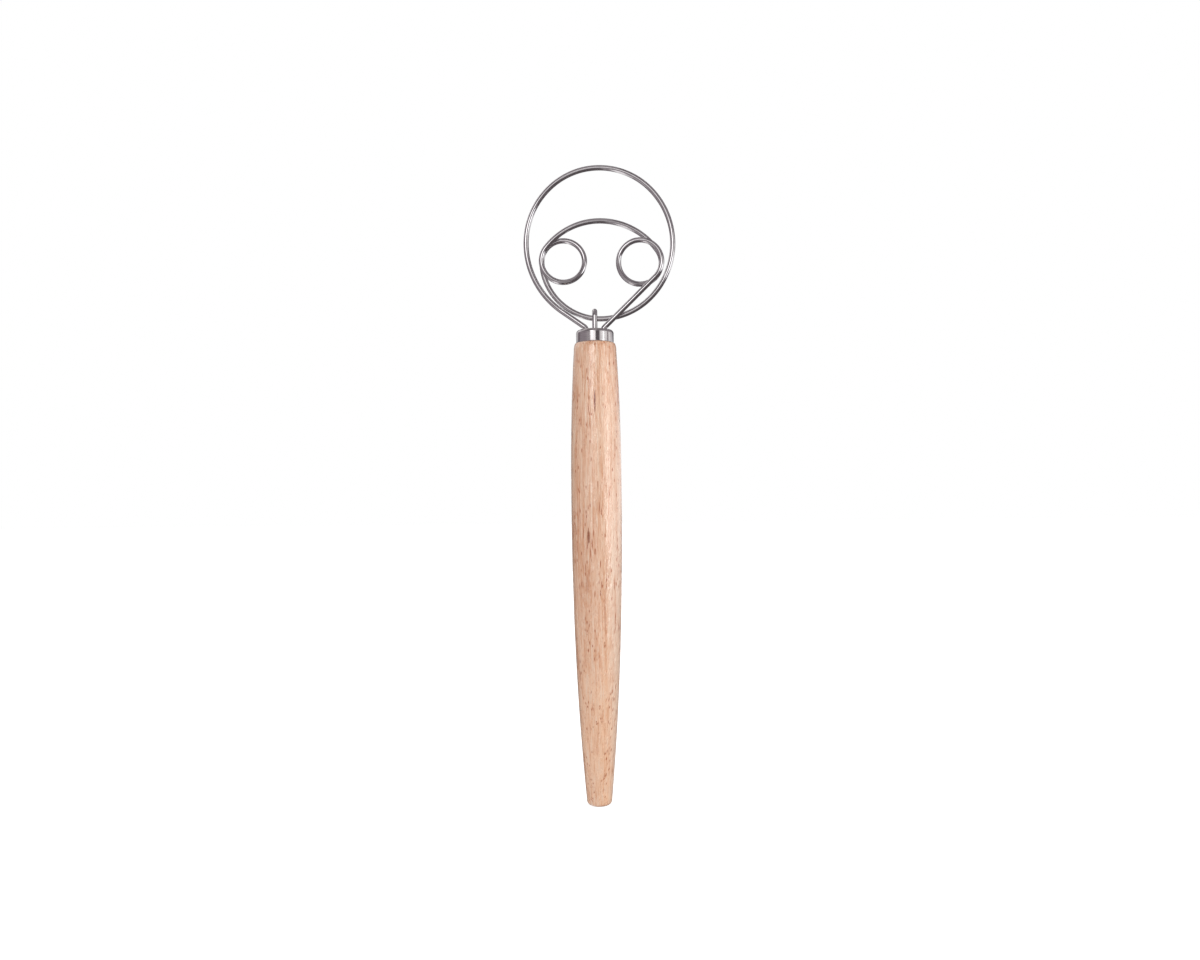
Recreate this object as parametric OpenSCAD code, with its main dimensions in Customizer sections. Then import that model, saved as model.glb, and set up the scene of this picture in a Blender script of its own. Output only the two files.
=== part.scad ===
// Danish dough whisk: one bent steel wire with two eyes, a keeper staple, a steel ferrule
// and a turned wooden handle. It stands on its butt: +Z runs up the handle, and the front
// of the head faces -Y. The origin is the centre of the butt face. Lengths are millimetres.

/* [Wire] */
// Diameter of the whisk wire and of the keeper wire
wire_d = 2.8; // [2.4:0.1:3]
// Bend radius of the wire's centre line where it leaves the ferrule
bend_r = 3; // [2.5:0.5:4]
// Length of the wire ends below the top of the ferrule
tang_l = 30; // [20:1:34]

/* [Outer loop] */
// Width of the outer loop over the wire
loop_w = 81.2; // [80:0.2:83]
// Height of the outer loop over the wire
loop_h = 83.6; // [81:0.2:87]
// Distance of the loop's middle to the right of the handle's axis
loop_x = 2.9; // [2:0.1:4]
// Clear height between the ferrule and the loop's lowest point
neck_h = 5; // [4.5:0.5:7]
// Distance of the loop behind the handle's axis
loop_back = 1.4; // [1.2:0.1:2]
// Radius of the loop's flatter left flank, to the wire's centre line
flank_r = 44.5; // [43:0.5:48]
// Direction from the loop's middle at which the left flank begins
flank_angle = 182; // [180:1:190]
// Lean of the eyes and the arch to the right, in degrees
head_lean = 1.8; // [0:0.1:3]

/* [Eyes and arch] */
// Inner diameter of the two eyes
eye_bore = 20; // [18:0.5:21]
// Distance between the middles of the two eyes
eye_gap = 40.9; // [40:0.1:42]
// Distance of the eyes' middles below the middle of the loop
eye_drop = 10.5; // [8:0.5:12]
// Distance of the mid-point between the eyes to the right of the loop's middle
eye_shift = 1.3; // [0:0.1:2]
// Height of the arch's crown above the eyes' middles, to the wire's centre line
arch_rise = 21.7; // [21:0.1:23]
// Direction from the loop's middle at which the bottom of the loop turns up into the heel
heel_angle = 275; // [268:1:280]
// Clear distance between two turns of the wire that cross, front to back
turn_gap = 0.5; // [0.4:0.1:0.7]
// Distance that the arch drifts back from the left eye to the right eye
arch_back = 1; // [0:0.1:1.4]

/* [Keeper] */
// Height of the keeper's crown above the ferrule
keeper_h = 11.8; // [11:0.2:14]
// Clear distance between a keeper leg and the loop that passes between the legs
keeper_gap = 0.3; // [0.2:0.1:0.6]

/* [Ferrule] */
// Outer diameter of the ferrule
ferrule_d = 20; // [19.5:0.5:21]
// Height of the ferrule
ferrule_h = 7; // [6:0.5:9]
// Thickness of the ferrule's sheet steel
ferrule_wall = 0.6; // [0.5:0.1:0.9]
// Outer radius of the ferrule's drawn corner
ferrule_corner = 1.8; // [1.4:0.1:2]
// Distance of the two wire holes to each side of the handle's axis
hole_x = 4.4; // [4.2:0.05:4.6]
// Distance of the two wire holes in front of the handle's axis
hole_front = 1.6; // [1.4:0.1:2]
// Radial clearance of the wires in the ferrule's holes
hole_gap = 0.25; // [0.2:0.05:0.3]

/* [Handle] */
// Length of the turned handle from its butt to the shoulder below the ferrule
handle_l = 245; // [220:1:270]
// Diameter of the grip at its belly
belly_d = 26.9; // [25:0.1:30]
// Height of the belly above the butt
belly_z = 165; // [150:1:175]
// Diameter at the butt, before its rounding
butt_d = 13; // [12:0.5:16]
// Radius of the butt's rounding
butt_round = 2; // [1:0.5:3]
// Diameter at the shoulder, before its rounding
shoulder_d = 22.2; // [21.8:0.1:24]
// Height over which the shoulder rounds off to the ferrule
shoulder_round = 4; // [2:0.5:6]
// Power of the curve from the butt to the belly: a higher one fills the grip out lower down
swell_power = 2.25; // [1.8:0.05:2.8]
// Power of the curve from the belly to the shoulder
neck_power = 2.3; // [1.8:0.1:2.8]
// Diameter of the socket that holds the wire ends
socket_d = 14; // [13.6:0.2:14.4]
// Depth of the socket's straight wall below the top of the tenon
socket_l = 36; // [35:1:45]
// Play between pieces that are pressed or glued together
fit_gap = 0.05; // [0.02:0.01:0.08]

/* [Hidden] */

wood = [0.86, 0.66, 0.52];
steel = [0.72, 0.72, 0.74];
polished_steel = [0.80, 0.80, 0.82];
epoxy = [0.85, 0.78, 0.55];

// Facets of turned pieces, holes and rounded corners, and sides of the bent wire
turning_faces = 60;
hole_faces = 36;
corner_faces = 24;
wire_sides = 12;

// Degrees of an arc between two rings of the wire: tight bends, eyes and wide arcs
bend_step = 12;
eye_step = 8;
arc_step = 5;

wire_r = wire_d / 2;
ferrule_r = ferrule_d / 2;
socket_r = socket_d / 2;

// Heights above the butt: the ferrule's top outside and inside, and the top of the tenon
ferrule_top = handle_l + ferrule_h;
bend_z = ferrule_top - ferrule_wall;
tenon_top = bend_z - fit_gap;
tang_z = ferrule_top - tang_l;
socket_z = tenon_top - socket_l;

// Tenon inside the ferrule, and the ledge round it that the ferrule seats on
tenon_r = ferrule_r - ferrule_wall - fit_gap;
tenon_chamfer = ferrule_corner - ferrule_wall;
ledge_r = ferrule_r + 0.2;

// Keeper: distance of its legs from the loop between them, and middle of its crown
keeper_half = wire_d + keeper_gap;
keeper_bend_z = ferrule_top + keeper_h - wire_r - keeper_half;

// Places [x, y] at which the four wire ends go down through the ferrule
TANGS = [
    [-hole_x, -hole_front],
    [hole_x, -hole_front],
    [0, loop_back - keeper_half],
    [0, loop_back + keeper_half]
];

// Unit vector in the direction of an angle, and the angle of a vector, in the X-Z plane
function along(a) = [cos(a), sin(a)];
function angle_of(v) = atan2(v[1], v[0]);

// Depth levels of the wire along +Y, which points away from the front. Each eye brings the
// wire one pass further forwards.
pass = wire_d + turn_gap;
left_eye_out_y = loop_back - pass;
right_eye_in_y = left_eye_out_y + arch_back;
right_eye_out_y = right_eye_in_y - pass;

// Oval of the outer loop on its centre line: four arcs that meet at 45 degrees
half_w = loop_w / 2 - wire_r;
half_h = loop_h / 2 - wire_r;
oval_shift = (half_h - half_w) / (2 - sqrt(2));
side_r = half_w + oval_shift;
crown_r = half_h - oval_shift;
loop_mid = [loop_x, ferrule_top + neck_h + wire_r + half_h];
left_side_mid = loop_mid + [oval_shift, 0];
right_side_mid = loop_mid - [oval_shift, 0];
crown_mid = loop_mid + [0, oval_shift];
bottom_mid = loop_mid - [0, oval_shift];
flank_mid = left_side_mid + (side_r - flank_r) * along(flank_angle);

// Middles of the eyes, and the arch that runs round both of them
eye_r = eye_bore / 2 + wire_r;
eye_line = along(-head_lean);
eye_up = along(90 - head_lean);
eyes_mid = loop_mid + eye_shift * eye_line - eye_drop * eye_up;
left_eye = eyes_mid - eye_gap / 2 * eye_line;
right_eye = eyes_mid + eye_gap / 2 * eye_line;
arch_r = (pow(eye_gap / 2, 2) + pow(arch_rise, 2) - pow(eye_r, 2)) / (2 * (arch_rise - eye_r));
arch_mid = eyes_mid + (arch_rise - arch_r) * eye_up;

// Radius of the arc that starts at a point, bulges towards out, and runs into a circle
function tangent_arc_r(start, out, mid, r) =
    let(d = start - mid) (d * d - r * r) / (2 * (out * d - r));

// Heel: the arc that leaves the loop's bottom at heel_angle and runs into the left eye
heel_out = along(heel_angle);
heel_start = bottom_mid + crown_r * heel_out;
heel_r = tangent_arc_r(heel_start, heel_out, left_eye, eye_r);
heel_mid = heel_start - heel_r * heel_out;

// Fields of a bend: middle [x, z], radius, turn (1 anticlockwise and -1 clockwise, seen
// from the front), full turns added, depth where it starts and ends, degrees between rings
MID = 0;
RADIUS = 1;
TURN = 2;
FULL_TURNS = 3;
START_Y = 4;
END_Y = 5;
STEP = 6;

// Bends of the wire in the order in which it runs, from the left hole to the right one.
// Each is tangent to the one before it, directly or along a straight run.
BENDS = [
    [[-hole_x - bend_r, bend_z], bend_r, 1, 0, -hole_front, -hole_front, bend_step],
    [flank_mid, flank_r, -1, 0, loop_back, loop_back, arc_step],
    [left_side_mid, side_r, -1, 0, loop_back, loop_back, arc_step],
    [crown_mid, crown_r, -1, 0, loop_back, loop_back, arc_step],
    [right_side_mid, side_r, -1, 0, loop_back, loop_back, arc_step],
    [bottom_mid, crown_r, -1, 0, loop_back, loop_back, arc_step],
    [heel_mid, heel_r, -1, 0, loop_back, loop_back, arc_step],
    [left_eye, eye_r, -1, 1, loop_back, left_eye_out_y, eye_step],
    [arch_mid, arch_r, -1, 0, left_eye_out_y, right_eye_in_y, arc_step],
    [right_eye, eye_r, -1, 1, right_eye_in_y, right_eye_out_y, eye_step],
    [[hole_x + bend_r, bend_z], bend_r, 1, 0, -hole_front, -hole_front, bend_step]
];

// Heading of the straight run from one bend to the next, tangent to both
function heading(a, b) =
    let(
        d = b[MID] - a[MID],
        side = (b[TURN] * b[RADIUS] - a[TURN] * a[RADIUS]) / norm(d)
    )
    angle_of(d) - asin(min(1, max(-1, side)));

// Angle from one heading to another in a bend's own turn. A little less than no angle,
// where two arcs meet in one point, isn't a full turn.
function turned(from, to, turn) =
    let(slack = 0.01, t = (to - from) * turn) t - 360 * floor((t + slack) / 360);

// Share of a change of depth that is done at a share of a bend. The bend stays level near
// both ends, so that the two passes of an eye lie clear of each other where they overlap.
function climb(t) =
    let(level = 0.18, c = min(1, max(0, (t - level) / (1 - 2 * level)))) c * c * (3 - 2 * c);

// Points of one bend, entered and left on the given headings
function bend_points(bend, from, to) =
    let(
        sweep = turned(from, to, bend[TURN]) + 360 * bend[FULL_TURNS],
        steps = max(1, ceil(sweep / bend[STEP]))
    )
    [
        for (i = [0:steps])
            let(
                t = i / steps,
                p = bend[MID] + bend[RADIUS] * along(from + bend[TURN] * (sweep * t - 90)),
                y = bend[START_Y] + (bend[END_Y] - bend[START_Y]) * climb(t)
            )
            [p[0], y, p[1]]
    ];

// Headings before, between and after the bends: up out of the left hole, down into the right
HEADINGS = [
    90,
    for (i = [0:len(BENDS) - 2]) heading(BENDS[i], BENDS[i + 1]),
    270
];

// The wire's centre line from end to end. A point that lies on the one before is left out.
ALL_POINTS = [
    [-hole_x, -hole_front, tang_z],
    for (i = [0:len(BENDS) - 1]) each bend_points(BENDS[i], HEADINGS[i], HEADINGS[i + 1]),
    [hole_x, -hole_front, tang_z]
];
ROUTE = [
    for (i = [0:len(ALL_POINTS) - 1])
        if (i == 0 || norm(ALL_POINTS[i] - ALL_POINTS[max(0, i - 1)]) > wire_r / 4) ALL_POINTS[i]
];

// Least distance from a point to the straight line between two points
function reach(p, a, b) =
    let(d = b - a, t = min(1, max(0, (p - a) * d / (d * d)))) norm(p - a - t * d);

// Least gap of the wire to itself, between points that lie apart along the wire
points_apart = 12;
SELF_GAP = min([
    for (i = [0:len(ROUTE) - 1], j = [i + points_apart:len(ROUTE) - 2])
        reach(ROUTE[i], ROUTE[j], ROUTE[j + 1])
]) - wire_d;
echo(least_gap_of_the_wire_to_itself = SELF_GAP);

// Tube swept along points that run near the X-Z plane
module swept_wire(points, r, sides) {
    last = len(points) - 1;
    rings = [
        for (i = [0:last])
            let(
                run = points[min(i + 1, last)] - points[max(i - 1, 0)],
                dir = run / norm(run),
                back = [0, 1, 0] - dir[1] * dir,
                b = back / norm(back),
                n = cross(b, dir)
            )
            for (k = [0:sides - 1])
                let(a = 360 * k / sides) points[i] + r * (cos(a) * n + sin(a) * b)
    ];
    walls = [
        for (i = [0:last - 1], k = [0:sides - 1])
            let(p = i * sides + k, q = i * sides + (k + 1) % sides)
            each [[p, q, q + sides], [p, q + sides, p + sides]]
    ];
    ends = [
        [for (k = [sides - 1:-1:0]) k],
        [for (k = [0:sides - 1]) last * sides + k]
    ];
    polyhedron(rings, concat(walls, ends));
}

// One wire from end to end: outer loop, heel, left eye, arch, right eye and diagonal
module whisk_wire() {
    color(steel) swept_wire(ROUTE, wire_r, wire_sides);
}

// Staple that straddles the bottom of the loop, with both legs glued into the handle
module keeper_loop() {
    color(steel) {
        for (side = [-1, 1])
            translate([0, loop_back + side * keeper_half, tang_z])
                cylinder(r = wire_r, h = keeper_bend_z - tang_z, $fn = hole_faces);
        translate([0, loop_back, keeper_bend_z])
            rotate([90, 0, 90])
                rotate_extrude(angle = 180, $fn = hole_faces)
                    translate([keeper_half, 0]) circle(wire_r, $fn = hole_faces);
    }
}

// Round rod whose top edge is rounded over
module capped_rod(r, h, corner) {
    rotate_extrude($fn = turning_faces) {
        square([r, h - corner]);
        square([r - corner, h]);
        translate([r - corner, h - corner]) circle(corner, $fn = corner_faces);
    }
}

// One straight rod, to be cut away, on each place where a wire end goes down
module at_tangs(r, z, h) {
    for (place = TANGS)
        translate([place[0], place[1], z]) cylinder(r = r, h = h, $fn = hole_faces);
}

// Drawn steel cap over the handle's tenon, with a hole for each wire end
module ferrule() {
    color(polished_steel)
        difference() {
            translate([0, 0, handle_l]) capped_rod(ferrule_r, ferrule_h, ferrule_corner);
            translate([0, 0, handle_l - ferrule_wall])
                capped_rod(ferrule_r - ferrule_wall, ferrule_h, ferrule_corner - ferrule_wall);
            at_tangs(wire_r + hole_gap, bend_z - ferrule_wall, 3 * ferrule_wall);
        }
}

// Form of the drilled socket up to a height, or of its filling when drawn smaller by a gap
module socket_form(gap, top) {
    drill_point = 118;
    r = socket_r - gap;
    point_h = r / tan(drill_point / 2);
    rotate_extrude($fn = turning_faces)
        polygon([[0, socket_z - point_h], [r, socket_z], [r, top], [0, top]]);
}

// Cured glue that fills the socket round the four wire ends
module glue_plug() {
    color(epoxy)
        difference() {
            socket_form(fit_gap, tenon_top);
            at_tangs(wire_r + fit_gap, tang_z - fit_gap, tang_l);
        }
}

// Radius of the grip at a height: it swells to the belly and narrows to the shoulder
butt_r = butt_d / 2;
belly_r = belly_d / 2;
shoulder_r = shoulder_d / 2;
function grip_r(z) =
    z < belly_z
    ? belly_r - (belly_r - butt_r) * pow(1 - z / belly_z, swell_power)
    : belly_r - (belly_r - shoulder_r) * pow((z - belly_z) / (handle_l - belly_z), neck_power);

// Outline of the handle from the middle of the butt up to the middle of the tenon
lower_steps = 20;
upper_steps = 10;
rounding_z = handle_l - shoulder_round;
rounding_r = grip_r(rounding_z);
HANDLE_OUTLINE = [
    [0, 0],
    for (a = [0:22.5:67.5])
        [grip_r(butt_round) - butt_round * (1 - sin(a)), butt_round * (1 - cos(a))],
    for (i = [0:lower_steps - 1])
        let(z = butt_round + (belly_z - butt_round) * i / lower_steps) [grip_r(z), z],
    for (i = [0:upper_steps - 1])
        let(z = belly_z + (rounding_z - belly_z) * i / upper_steps) [grip_r(z), z],
    for (a = [0:18:90])
        [ledge_r + (rounding_r - ledge_r) * cos(a), rounding_z + shoulder_round * sin(a)],
    [tenon_r, handle_l],
    [tenon_r, tenon_top - tenon_chamfer],
    [tenon_r - tenon_chamfer, tenon_top],
    [0, tenon_top]
];

// Turned handle with its tenon and the socket drilled down through it
module handle() {
    color(wood)
        difference() {
            rotate_extrude($fn = turning_faces) polygon(HANDLE_OUTLINE);
            socket_form(0, tenon_top + 1);
        }
}

handle();
ferrule();
glue_plug();
keeper_loop();
whisk_wire();
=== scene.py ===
"""Looks of a dough whisk: a bent steel wire head, a keeper, a ferrule and a turned handle."""

import logging
import math
from dataclasses import dataclass, field
from enum import Enum

import bpy
from mathutils import Matrix, Vector


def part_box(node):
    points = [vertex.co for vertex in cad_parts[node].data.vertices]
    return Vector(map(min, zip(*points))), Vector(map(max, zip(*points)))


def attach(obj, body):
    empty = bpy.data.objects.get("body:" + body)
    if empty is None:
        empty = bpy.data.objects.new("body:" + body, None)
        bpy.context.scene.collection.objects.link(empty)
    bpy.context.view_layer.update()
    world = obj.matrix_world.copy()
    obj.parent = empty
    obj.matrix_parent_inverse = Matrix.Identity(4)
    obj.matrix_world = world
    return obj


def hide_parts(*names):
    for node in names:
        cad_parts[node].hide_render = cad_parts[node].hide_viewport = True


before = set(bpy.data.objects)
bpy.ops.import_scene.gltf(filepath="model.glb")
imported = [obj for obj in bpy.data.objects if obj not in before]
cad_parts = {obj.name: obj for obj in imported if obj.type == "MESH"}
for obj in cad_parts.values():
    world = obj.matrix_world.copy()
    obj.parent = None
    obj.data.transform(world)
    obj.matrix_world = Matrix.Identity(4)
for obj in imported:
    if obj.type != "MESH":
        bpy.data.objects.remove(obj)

log = logging.getLogger("dough_whisk")

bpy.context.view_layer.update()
BODY = "root"

Colour = tuple[float, float, float]
Point = tuple[float, float, float]
FlatPoint = tuple[float, float]


class Slot(Enum):
    """Material slots of the record."""

    WOOD = "wood"
    WIRE = "wire_steel"
    FERRULE = "ferrule_steel"
    GLUE = "glue"


class Turn(Enum):
    """Sense in which the wire is bent, seen from the front."""

    ANTICLOCKWISE = 1
    CLOCKWISE = -1


def deselect_all() -> None:
    """Leaves object mode with nothing selected."""
    if bpy.context.object and bpy.context.object.mode != "OBJECT":
        bpy.ops.object.mode_set(mode="OBJECT")
    bpy.ops.object.select_all(action="DESELECT")


def select_only(piece: bpy.types.Object) -> None:
    """Makes one object the selected and active one.

    Args:
        piece: The object to select.
    """
    deselect_all()
    piece.select_set(True)
    bpy.context.view_layer.objects.active = piece


def smooth(piece: bpy.types.Object, angle: float) -> None:
    """Shades a piece smooth, except where its faces meet at a sharper angle.

    Args:
        piece: The mesh object.
        angle: Sharpest angle that is still smoothed, in degrees.
    """
    select_only(piece)
    bpy.ops.object.shade_smooth_by_angle(angle=math.radians(angle))


class Nodes:
    """Short way to add and join the nodes of one material or world."""

    def __init__(self, tree: bpy.types.NodeTree) -> None:
        """Starts from an empty tree.

        Args:
            tree: The node tree to fill.
        """
        self.tree = tree
        tree.nodes.clear()

    def add(self, kind: str, **values: object) -> bpy.types.Node:
        """Adds a node and sets its properties and inputs.

        Args:
            kind: The node's type name, without its ShaderNode prefix.
            **values: Properties by name, or inputs by name with spaces as underscores.

        Returns:
            The new node.
        """
        made = self.tree.nodes.new("ShaderNode" + kind)
        for key, value in values.items():
            name = key.replace("_", " ")
            if hasattr(made, key):
                setattr(made, key, value)
            else:
                made.inputs[name].default_value = value
        return made

    def join(self, source: bpy.types.NodeSocket, target: bpy.types.NodeSocket) -> None:
        """Links an output to an input."""
        self.tree.links.new(source, target)

    def ramp(self, value: bpy.types.NodeSocket, stops: list[tuple[float, Colour]]) -> bpy.types.NodeSocket:
        """Turns a value into a colour by a list of stops.

        Args:
            value: The value, from 0 to 1.
            stops: Places and colours, in order.

        Returns:
            The colour output.
        """
        made = self.add("ValToRGB")
        elements = made.color_ramp.elements
        while len(elements) < len(stops):
            elements.new(1.0)
        for element, (place, colour) in zip(elements, stops):
            element.position = place
            element.color = (*colour, 1.0)
        self.join(value, made.inputs["Fac"])
        return made.outputs["Color"]

    def limits(self, value: bpy.types.NodeSocket, low: float, high: float) -> bpy.types.NodeSocket:
        """Maps a value smoothly from 0 at low to 1 at high, or the other way round."""
        made = self.add("MapRange", interpolation_type="SMOOTHSTEP")
        made.inputs["From Min"].default_value = low
        made.inputs["From Max"].default_value = high
        self.join(value, made.inputs["Value"])
        return made.outputs["Result"]

    def maths(self, operation: str, a: bpy.types.NodeSocket, b: bpy.types.NodeSocket | float) -> bpy.types.NodeSocket:
        """Joins two values by a Math node."""
        made = self.add("Math", operation=operation)
        self.join(a, made.inputs[0])
        if isinstance(b, float):
            made.inputs[1].default_value = b
        else:
            self.join(b, made.inputs[1])
        return made.outputs[0]

    def mix(self, factor: bpy.types.NodeSocket, a: bpy.types.NodeSocket, b: bpy.types.NodeSocket | Colour) -> bpy.types.NodeSocket:
        """Mixes colour a towards colour b by a factor."""
        made = self.add("Mix", data_type="RGBA")
        self.join(factor, made.inputs["Factor"])
        self.join(a, made.inputs[6])
        if isinstance(b, tuple):
            made.inputs[7].default_value = (*b, 1.0)
        else:
            self.join(b, made.inputs[7])
        return made.outputs[2]

    def stretched(self, scale: Point) -> bpy.types.NodeSocket:
        """Gives Object coordinates in metres, scaled along each axis."""
        place = self.add("TexCoord")
        mapping = self.add("Mapping")
        mapping.inputs["Scale"].default_value = scale
        self.join(place.outputs["Object"], mapping.inputs["Vector"])
        return mapping.outputs["Vector"]


def new_material(name: str) -> tuple[bpy.types.Material, Nodes, bpy.types.Node]:
    """Makes a material with a Principled shader joined to its output.

    Args:
        name: The material's name.

    Returns:
        The material, its nodes and the Principled shader.
    """
    material = bpy.data.materials.new(name)
    material.use_nodes = True
    nodes = Nodes(material.node_tree)
    shader = nodes.add("BsdfPrincipled")
    output = nodes.add("OutputMaterial")
    nodes.join(shader.outputs["BSDF"], output.inputs["Surface"])
    return material, nodes, shader


@dataclass(frozen=True)
class WoodMark:
    """A single mark in the wood, in metres.

    Args:
        middle: Its middle, across and up.
        half: Half its width and length.
        depth: How strongly it shows, from 0 to 1.
        colour: Its colour.
    """

    middle: FlatPoint
    half: FlatPoint
    depth: float
    colour: Colour = (0.42, 0.11, 0.035)


@dataclass(frozen=True)
class LacqueredWood:
    """Pale, faintly pink hardwood with red-brown vessel marks under a clear lacquer."""

    name: str = "lacquered_hardwood"
    pale: Colour = (0.82, 0.52, 0.345)
    deep: Colour = (0.70, 0.385, 0.225)
    foot: Colour = (0.96, 0.61, 0.395)
    # Pale colour painted on the lower right side of the handle as painted light from the right.
    painted_light_colour: Colour = (0.88, 0.68, 0.53)
    streak: Colour = (0.62, 0.25, 0.11)
    light: Colour = (0.88, 0.66, 0.50)
    vessel: Colour = (0.42, 0.11, 0.035)
    patch: Point = (130.0, 130.0, 34.0)
    fibre: Point = (1080.0, 1080.0, 50.0)
    fine: Point = (2300.0, 2300.0, 110.0)
    long_lines: Point = (1250.0, 1250.0, 18.0)
    short_vessels: Point = (950.0, 950.0, 270.0)
    long_vessels: Point = (1150.0, 1150.0, 80.0)
    vessel_r: float = 0.26
    share: float = 0.24
    clusters: float = 2.2
    ragged: Point = (420.0, 420.0, 210.0)
    uneven: Point = (520.0, 520.0, 170.0)
    dabs: Point = (450.0, 450.0, 170.0)
    wobble: Point = (30.0, 30.0, 22.0)
    wobble_size: float = 0.0022
    run_out: float = 1.3
    run_out_z: float = 0.150
    single_marks: tuple[WoodMark, ...] = (
        WoodMark((-0.0004, 0.2125), (0.00050, 0.0068), 1.0, (0.22, 0.03, 0.0)),
        WoodMark((-0.0043, 0.1430), (0.0009, 0.0042), 0.95, (0.30, 0.08, 0.02)),
        WoodMark((0.0039, 0.1020), (0.0003, 0.0125), 0.6),
        WoodMark((0.0049, 0.1250), (0.0003, 0.0090), 0.4),
        WoodMark((-0.0052, 0.1180), (0.0009, 0.0060), 0.35),
    )

    def grain(self, nodes: Nodes) -> bpy.types.NodeSocket:
        """Bends the Object coordinates so that the grain runs out of the lower half.

        Args:
            nodes: The material's nodes.

        Returns:
            Coordinates in metres whose third axis follows the grain.
        """
        plain = nodes.stretched((1.0, 1.0, 1.0))
        parts = nodes.add("SeparateXYZ")
        nodes.join(plain, parts.inputs["Vector"])
        below = nodes.add("Math", operation="SUBTRACT", use_clamp=True)
        below.inputs[0].default_value = self.run_out_z
        nodes.join(parts.outputs["Z"], below.inputs[1])
        squared = nodes.maths("POWER", below.outputs[0], 2.0)
        lean = nodes.maths("MULTIPLY", squared, self.run_out)
        wave = nodes.add("TexNoise", Scale=1.0, Detail=1.0)
        nodes.join(nodes.stretched(self.wobble), wave.inputs["Vector"])
        centred = nodes.add("VectorMath", operation="SUBTRACT")
        nodes.join(wave.outputs["Color"], centred.inputs[0])
        centred.inputs[1].default_value = (0.5, 0.5, 0.5)
        swing = nodes.add("VectorMath", operation="SCALE")
        nodes.join(centred.outputs[0], swing.inputs[0])
        swing.inputs["Scale"].default_value = self.wobble_size
        bow = nodes.add("CombineXYZ")
        nodes.join(nodes.maths("MULTIPLY", lean, 0.35), bow.inputs["X"])
        nodes.join(lean, bow.inputs["Y"])
        moved = nodes.add("VectorMath", operation="ADD")
        nodes.join(plain, moved.inputs[0])
        nodes.join(bow.outputs[0], moved.inputs[1])
        waved = nodes.add("VectorMath", operation="ADD")
        nodes.join(moved.outputs[0], waved.inputs[0])
        nodes.join(swing.outputs[0], waved.inputs[1])
        return waved.outputs[0]

    def noise(self, nodes: Nodes, grain: bpy.types.NodeSocket, scale: Point, detail: float) -> bpy.types.NodeSocket:
        """Makes a noise drawn out along the grain.

        Args:
            nodes: The material's nodes.
            grain: Coordinates that follow the grain.
            scale: Cells per metre along each axis.
            detail: Levels of detail.

        Returns:
            The noise, about 0.5.
        """
        mapping = nodes.add("Mapping")
        mapping.inputs["Scale"].default_value = scale
        nodes.join(grain, mapping.inputs["Vector"])
        made = nodes.add("TexNoise", Scale=1.0, Detail=detail, Roughness=0.6)
        nodes.join(mapping.outputs["Vector"], made.inputs["Vector"])
        return made.outputs["Fac"]

    def long_streaks(self, nodes: Nodes, wood: bpy.types.NodeSocket) -> bpy.types.NodeSocket:
        """Draws thin upright lines, darker and lighter, along the whole handle.

        Args:
            nodes: The material's nodes.
            wood: The colour under them.

        Returns:
            The colour with its lines.
        """
        lines = self.noise(nodes, nodes.stretched((1.0, 1.0, 1.0)), self.long_lines, 1.0)
        dark = nodes.maths("MULTIPLY", nodes.limits(lines, 0.48, 0.30), 0.50)
        darker = nodes.mix(dark, wood, self.streak)
        light = nodes.maths("MULTIPLY", nodes.limits(lines, 0.52, 0.70), 0.60)
        return nodes.mix(light, darker, self.light)

    def vessels(
        self, nodes: Nodes, grain: bpy.types.NodeSocket, patch: bpy.types.NodeSocket, scale: Point, width: float
    ) -> bpy.types.NodeSocket:
        """Cuts short lengths of vessel along the grain, wherever the turned surface meets one.

        Args:
            nodes: The material's nodes.
            grain: Coordinates that follow the grain.
            patch: Soft noise of the wood's colour; its dark patches hold more vessels.
            scale: Cells per metre along each axis, one vessel in each.
            width: Radius of a vessel, as a share of a cell.

        Returns:
            A value of 1 in a vessel and 0 outside it.
        """
        mapping = nodes.add("Mapping")
        mapping.inputs["Scale"].default_value = scale
        nodes.join(grain, mapping.inputs["Vector"])
        cells = nodes.add("TexVoronoi", feature="F1", voronoi_dimensions="3D", Scale=1.0)
        nodes.join(mapping.outputs["Vector"], cells.inputs["Vector"])
        near = nodes.limits(cells.outputs["Distance"], width * 1.3, width * 0.7)
        parts = nodes.add("SeparateColor")
        nodes.join(cells.outputs["Color"], parts.inputs["Color"])
        rank = nodes.maths("ADD", parts.outputs["Red"], nodes.maths("MULTIPLY", patch, self.clusters))
        limit = self.share + 0.5 * self.clusters
        chosen = nodes.limits(rank, limit + 0.02, limit - 0.02)
        return nodes.maths("MULTIPLY", near, chosen)

    def towards_butt(self, nodes: Nodes) -> bpy.types.NodeSocket:
        """Measures how near the butt the wood is.

        Args:
            nodes: The material's nodes.

        Returns:
            A value that rises from 0 at the handle's middle to 1 near the butt.
        """
        parts = nodes.add("SeparateXYZ")
        nodes.join(nodes.stretched((1.0, 1.0, 1.0)), parts.inputs["Vector"])
        return nodes.limits(parts.outputs["Z"], 0.125, 0.035)

    def paler_end_and_painted_light(self, nodes: Nodes, wood: bpy.types.NodeSocket) -> bpy.types.NodeSocket:
        """Makes the wood paler towards the butt, and paints light on its right side, the most low down, where a pale
        colour stands in for light falling from the right.

        Args:
            nodes: The material's nodes.
            wood: The wood's colour.

        Returns:
            The colour with its paler end and its painted light.
        """
        parts = nodes.add("SeparateXYZ")
        nodes.join(nodes.stretched((1.0, 1.0, 1.0)), parts.inputs["Vector"])
        pale = nodes.mix(nodes.maths("MULTIPLY", self.towards_butt(nodes), 0.8), wood, self.foot)
        # Painted light: the lower right side is mixed towards a pale colour, standing in for light falling from the
        # right.
        right = nodes.limits(parts.outputs["X"], 0.0035, 0.0085)
        lower = nodes.limits(parts.outputs["Z"], 0.260, 0.065)
        side = nodes.maths("MULTIPLY", nodes.maths("MULTIPLY", right, lower), 0.7)
        return nodes.mix(side, pale, self.painted_light_colour)

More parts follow.
